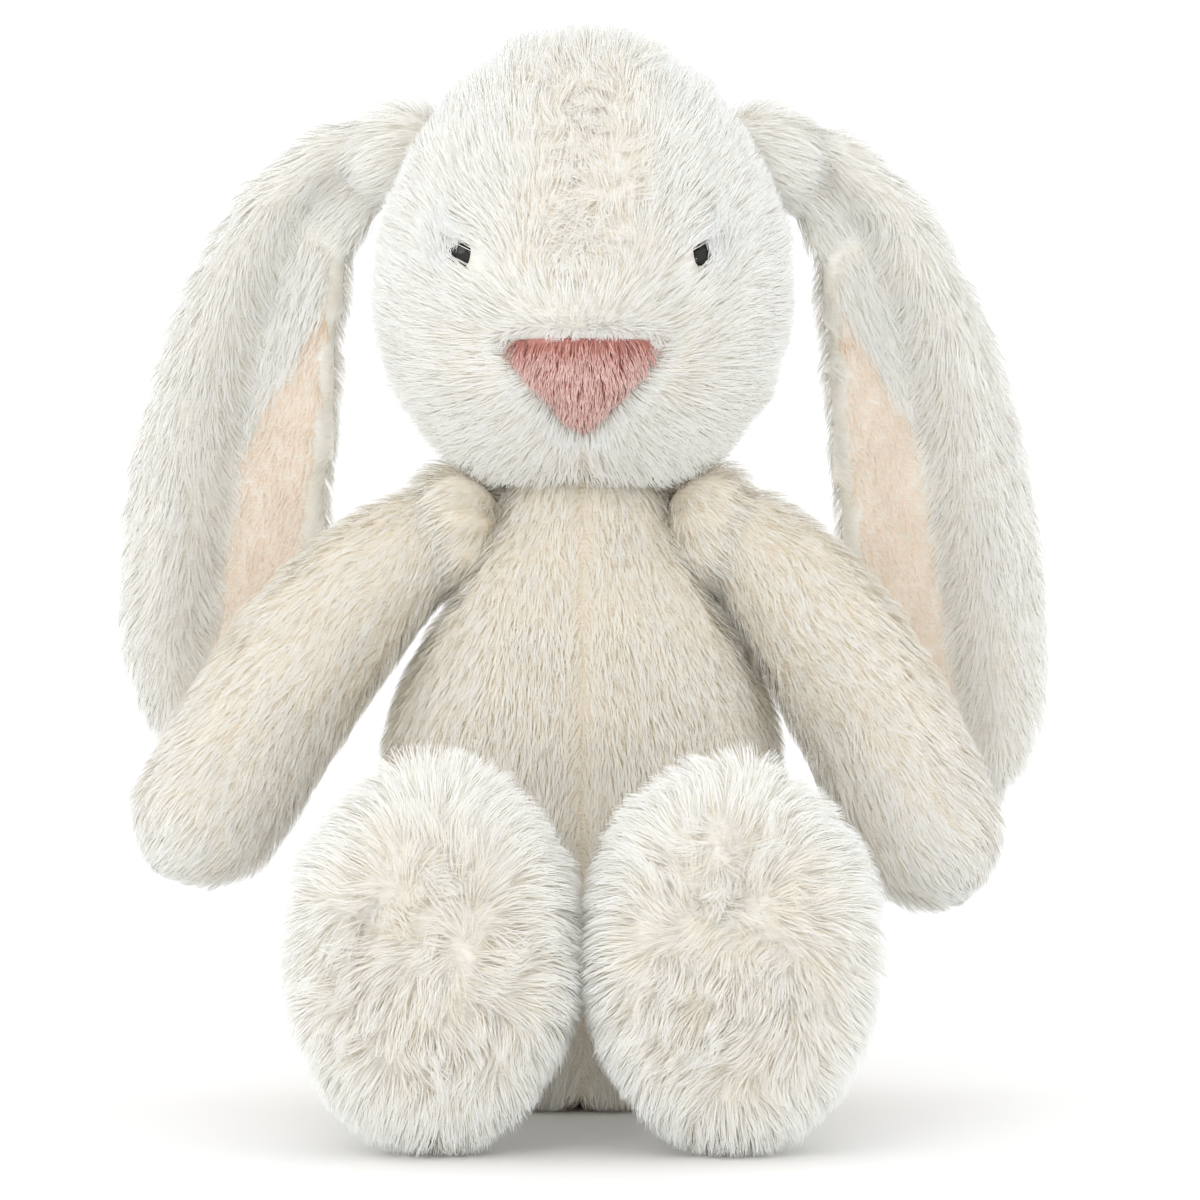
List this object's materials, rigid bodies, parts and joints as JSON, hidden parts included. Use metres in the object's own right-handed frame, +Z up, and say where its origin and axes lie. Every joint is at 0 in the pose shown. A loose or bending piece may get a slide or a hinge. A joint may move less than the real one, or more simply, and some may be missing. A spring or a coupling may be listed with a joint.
{
  "type": "stuffed bunny rabbit",
  "caption": "Seated lop-eared plush bunny with long cream pile, a pink plush nose, stuffed head and body, and sewn-on ears, arms and legs that move at their seams.",
  "frame": {"origin": "on the floor under the middle of the toy's bounding box", "axes": "+Z up along the seated toy's height, -Y the way the toy faces, +X the toy's own left side"},
  "size_m": [0.2517, 0.1857, 0.278],
  "materials": {
    "cream_plush": "long pile plush",
    "body_plush": "plush with a softer, shorter lie",
    "ear_lining": "short pile",
    "rose_plush": "short pile",
    "eye_black": "gloss",
    "washer_plastic": "matte",
    "fibre_filling": "loose fibre",
    "thread": "twisted thread",
    "pouch_cloth": "plain weave",
    "pellets": "matte beads"
  },
  "bodies": {
    "torso": {"belly_left": "body_plush", "belly_right": "body_plush", "back_left": "body_plush", "back_right": "body_plush", "seat_panel": "body_plush", "torso_stuffing": "fibre_filling", "pellet_pouch": "pouch_cloth", "pellet_fill": "pellets", "tail_upper": "cream_plush", "tail_lower": "cream_plush", "tail_stuffing": "fibre_filling"},
    "neck_seam": {"neck_stitching": "thread"},
    "head": {"head_gusset": "cream_plush", "head_side_left": "cream_plush", "head_side_right": "cream_plush", "nose_patch": "rose_plush", "head_stuffing": "fibre_filling", "eye_left": "eye_black", "eye_right": "eye_black", "eye_washer_left": "washer_plastic", "eye_washer_right": "washer_plastic"},
    "ear_left": {"ear_outer_left": "cream_plush", "ear_lining_left": "ear_lining"},
    "shoulder_seam_left": {"shoulder_stitching_left": "thread"},
    "arm_left": {"arm_front_left": "body_plush", "arm_back_left": "body_plush", "arm_stuffing_left": "fibre_filling"},
    "hip_seam_left": {"hip_stitching_left": "thread"},
    "leg_left": {"leg_outer_left": "cream_plush", "leg_inner_left": "cream_plush", "foot_sole_left": "cream_plush", "foot_pellets_left": "pellets", "leg_stuffing_left": "fibre_filling"},
    "ear_right": {"ear_outer_right": "cream_plush", "ear_lining_right": "ear_lining"},
    "shoulder_seam_right": {"shoulder_stitching_right": "thread"},
    "arm_right": {"arm_front_right": "body_plush", "arm_back_right": "body_plush", "arm_stuffing_right": "fibre_filling"},
    "hip_seam_right": {"hip_stitching_right": "thread"},
    "leg_right": {"leg_outer_right": "cream_plush", "leg_inner_right": "cream_plush", "foot_sole_right": "cream_plush", "foot_pellets_right": "pellets", "leg_stuffing_right": "fibre_filling"}
  },
  "joints": [
    {"name": "neck_turn", "type": "hinge", "parent": "torso", "child": "neck_seam", "pos_m": [0, 0.025, 0.152], "axis": [0, 0, 1], "range_deg": [-10, 10]},
    {"name": "neck_nod", "type": "hinge", "parent": "neck_seam", "child": "head", "pos_m": [0, 0.025, 0.152], "axis": [-1, 0, 0], "range_deg": [-10, 6]},
    {"name": "ear_lift_left", "type": "hinge", "parent": "head", "child": "ear_left", "pos_m": [0.047, 0.031, 0.25], "axis": [0, -1, 0], "range_deg": [0, 100]},
    {"name": "arm_swing_left", "type": "hinge", "parent": "torso", "child": "shoulder_seam_left", "pos_m": [0.041, 0.022, 0.148], "axis": [1, 0, 0], "range_deg": [-60, 5]},
    {"name": "arm_lift_left", "type": "hinge", "parent": "shoulder_seam_left", "child": "arm_left", "pos_m": [0.041, 0.022, 0.148], "axis": [0, -1, 0], "range_deg": [0, 50]},
    {"name": "leg_spread_left", "type": "hinge", "parent": "torso", "child": "hip_seam_left", "pos_m": [0.033, -0.009, 0.036], "axis": [0, 0, 1], "range_deg": [0, 25]},
    {"name": "leg_swing_left", "type": "hinge", "parent": "hip_seam_left", "child": "leg_left", "pos_m": [0.033, -0.009, 0.036], "axis": [-1, 0, 0], "range_deg": [-30, 28]},
    {"name": "ear_lift_right", "type": "hinge", "parent": "head", "child": "ear_right", "pos_m": [-0.047, 0.031, 0.25], "axis": [0, 1, 0], "range_deg": [0, 100]},
    {"name": "arm_swing_right", "type": "hinge", "parent": "torso", "child": "shoulder_seam_right", "pos_m": [-0.041, 0.022, 0.148], "axis": [1, 0, 0], "range_deg": [-60, 5]},
    {"name": "arm_lift_right", "type": "hinge", "parent": "shoulder_seam_right", "child": "arm_right", "pos_m": [-0.041, 0.022, 0.148], "axis": [0, 1, 0], "range_deg": [0, 50]},
    {"name": "leg_spread_right", "type": "hinge", "parent": "torso", "child": "hip_seam_right", "pos_m": [-0.033, -0.009, 0.036], "axis": [0, 0, -1], "range_deg": [0, 25]},
    {"name": "leg_swing_right", "type": "hinge", "parent": "hip_seam_right", "child": "leg_right", "pos_m": [-0.033, -0.009, 0.036], "axis": [-1, 0, 0], "range_deg": [-30, 28]}
  ]
}
